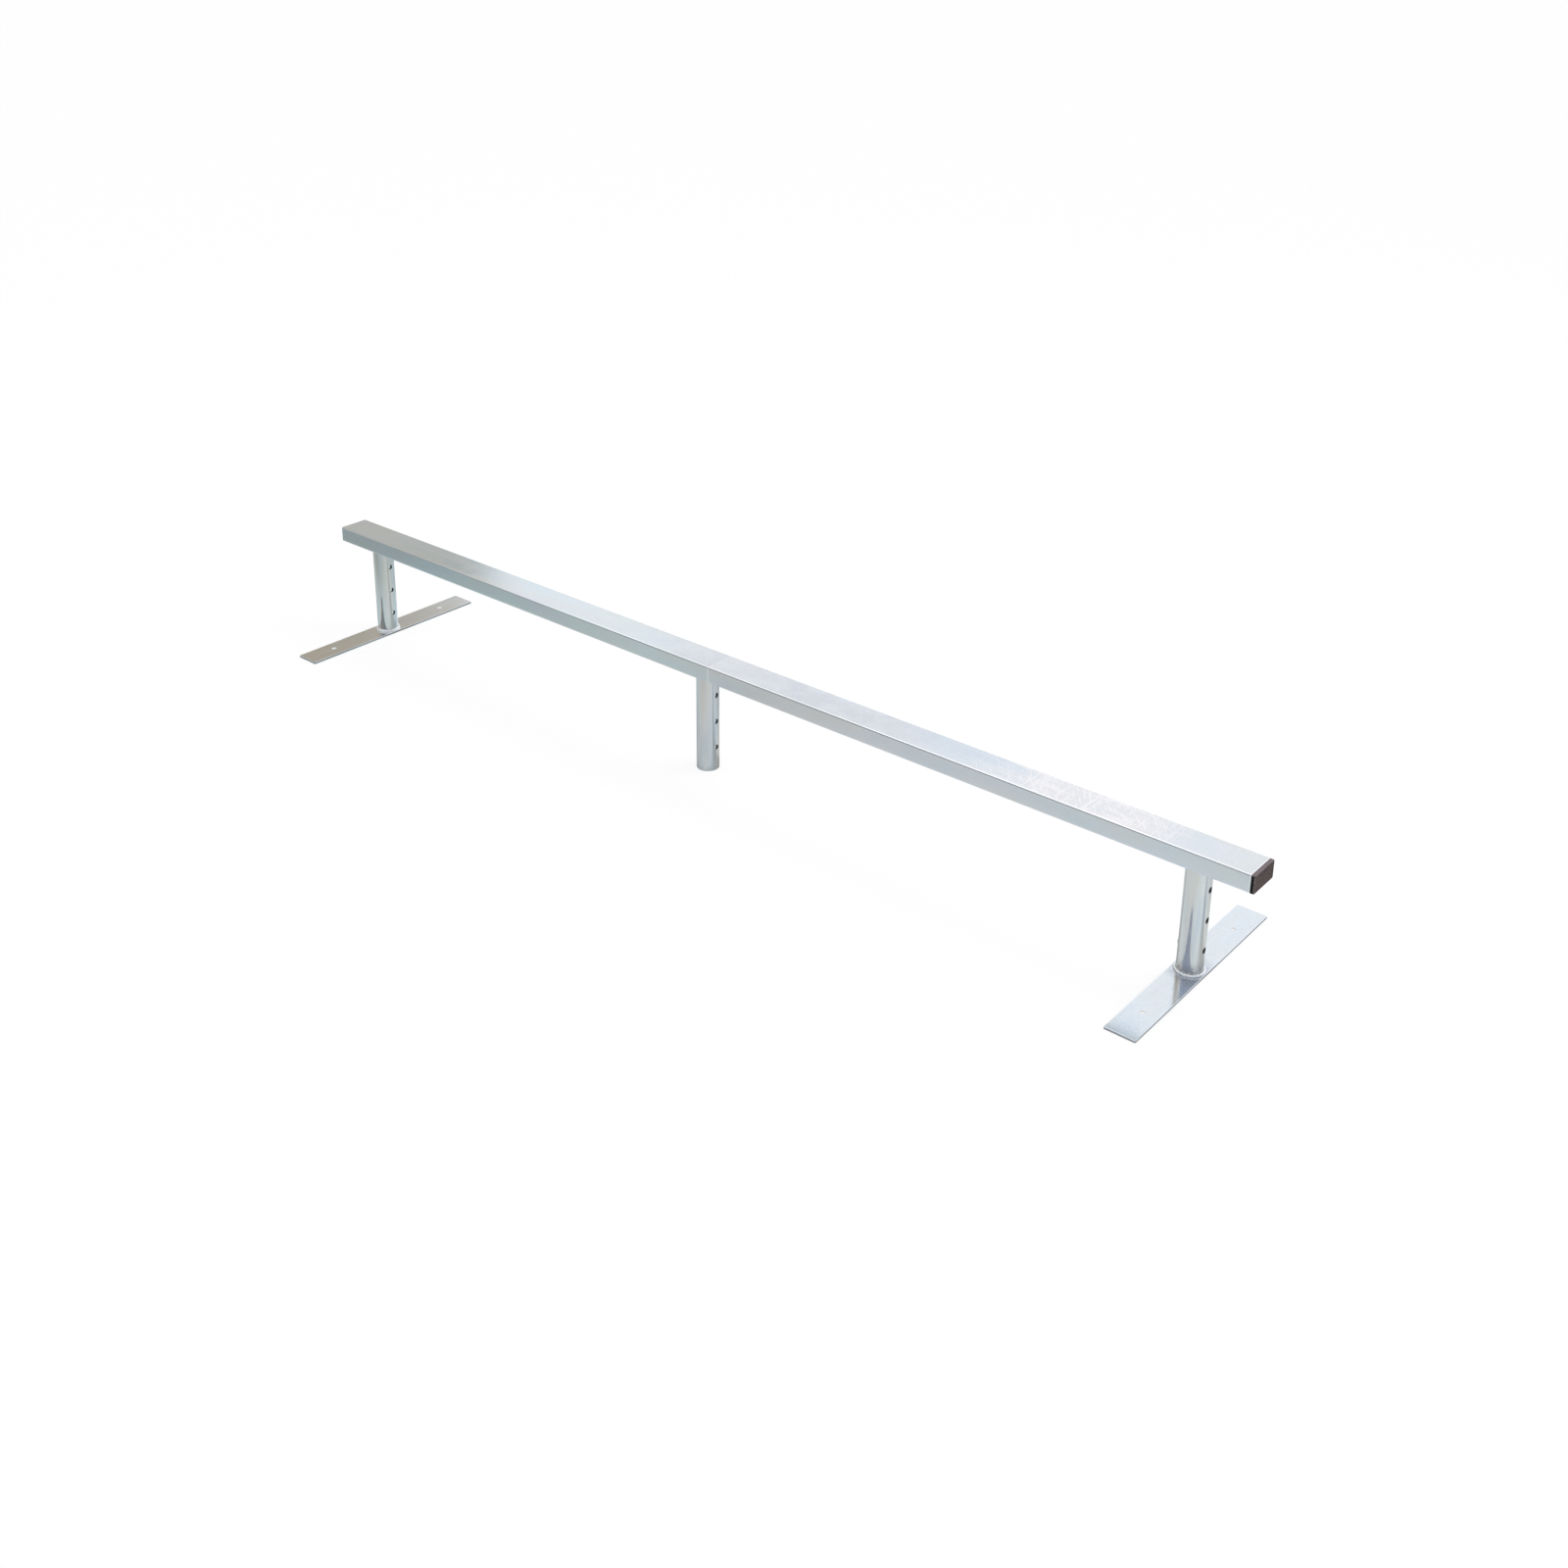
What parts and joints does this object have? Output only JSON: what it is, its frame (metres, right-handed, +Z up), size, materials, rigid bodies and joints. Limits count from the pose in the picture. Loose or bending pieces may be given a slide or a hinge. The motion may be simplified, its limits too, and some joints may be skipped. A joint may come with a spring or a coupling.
{
  "type": "skateboard grind rail",
  "caption": "Low flat skateboard grind rail of zinc-plated rectangular tube, sleeved at the middle, on telescopic round legs with height holes and flat-bar feet under the ends.",
  "frame": {"origin": "on the floor, under the middle of the whole length, cap included", "axes": "+X along the rail towards the capped end, +Y across the rail, +Z up"},
  "size_m": [2.006, 0.4, 0.21],
  "materials": {
    "zinc_tube": "bright zinc plating over drawn tube, satin, scuffed on the grinding face",
    "zinc_leg": "bright zinc plating over drawn tube, soft vertical streaks",
    "zinc_flat": "bright zinc plating over rolled flat bar",
    "weld_bead": "plated weld bead, rippled",
    "zinc_fastener": "bright zinc plating",
    "spring_steel": "polished spring strip with a plated button",
    "cap_plastic": "moulded polyethylene, fine grain, dark brown-black"
  },
  "bodies": {
    "rail": {"rail_half_left": "zinc_tube", "rail_half_right": "zinc_tube", "joint_sleeve": "zinc_tube", "end_cap_right": "cap_plastic", "end_plug_left": "cap_plastic", "joint_screw_1": "zinc_fastener", "joint_washer_1": "zinc_fastener", "joint_nut_1": "zinc_fastener", "joint_screw_2": "zinc_fastener", "joint_washer_2": "zinc_fastener", "joint_nut_2": "zinc_fastener", "joint_screw_3": "zinc_fastener", "joint_washer_3": "zinc_fastener", "joint_nut_3": "zinc_fastener", "joint_screw_4": "zinc_fastener", "joint_washer_4": "zinc_fastener", "joint_nut_4": "zinc_fastener", "post_left": "zinc_leg", "post_weld_left": "weld_bead", "snap_clip_left": "spring_steel", "post_middle": "zinc_leg", "post_weld_middle": "weld_bead", "snap_clip_middle": "spring_steel", "post_right": "zinc_leg", "post_weld_right": "weld_bead", "snap_clip_right": "spring_steel"},
    "left_leg": {"leg_tube_left": "zinc_leg", "foot_plate_left": "zinc_flat", "foot_weld_left": "weld_bead"},
    "middle_leg": {"leg_tube_middle": "zinc_leg"},
    "right_leg": {"leg_tube_right": "zinc_leg", "foot_plate_right": "zinc_flat", "foot_weld_right": "weld_bead"}
  },
  "joints": [
    {"name": "left_leg_slide", "type": "slide", "parent": "rail", "child": "left_leg", "axis": [0, 0, -1], "range_m": [0, 0.1], "deforming": ["snap_clip_left"]},
    {"name": "middle_leg_slide", "type": "slide", "parent": "rail", "child": "middle_leg", "axis": [0, 0, -1], "range_m": [0, 0.1], "deforming": ["snap_clip_middle"]},
    {"name": "right_leg_slide", "type": "slide", "parent": "rail", "child": "right_leg", "axis": [0, 0, -1], "range_m": [0, 0.1], "deforming": ["snap_clip_right"]}
  ]
}
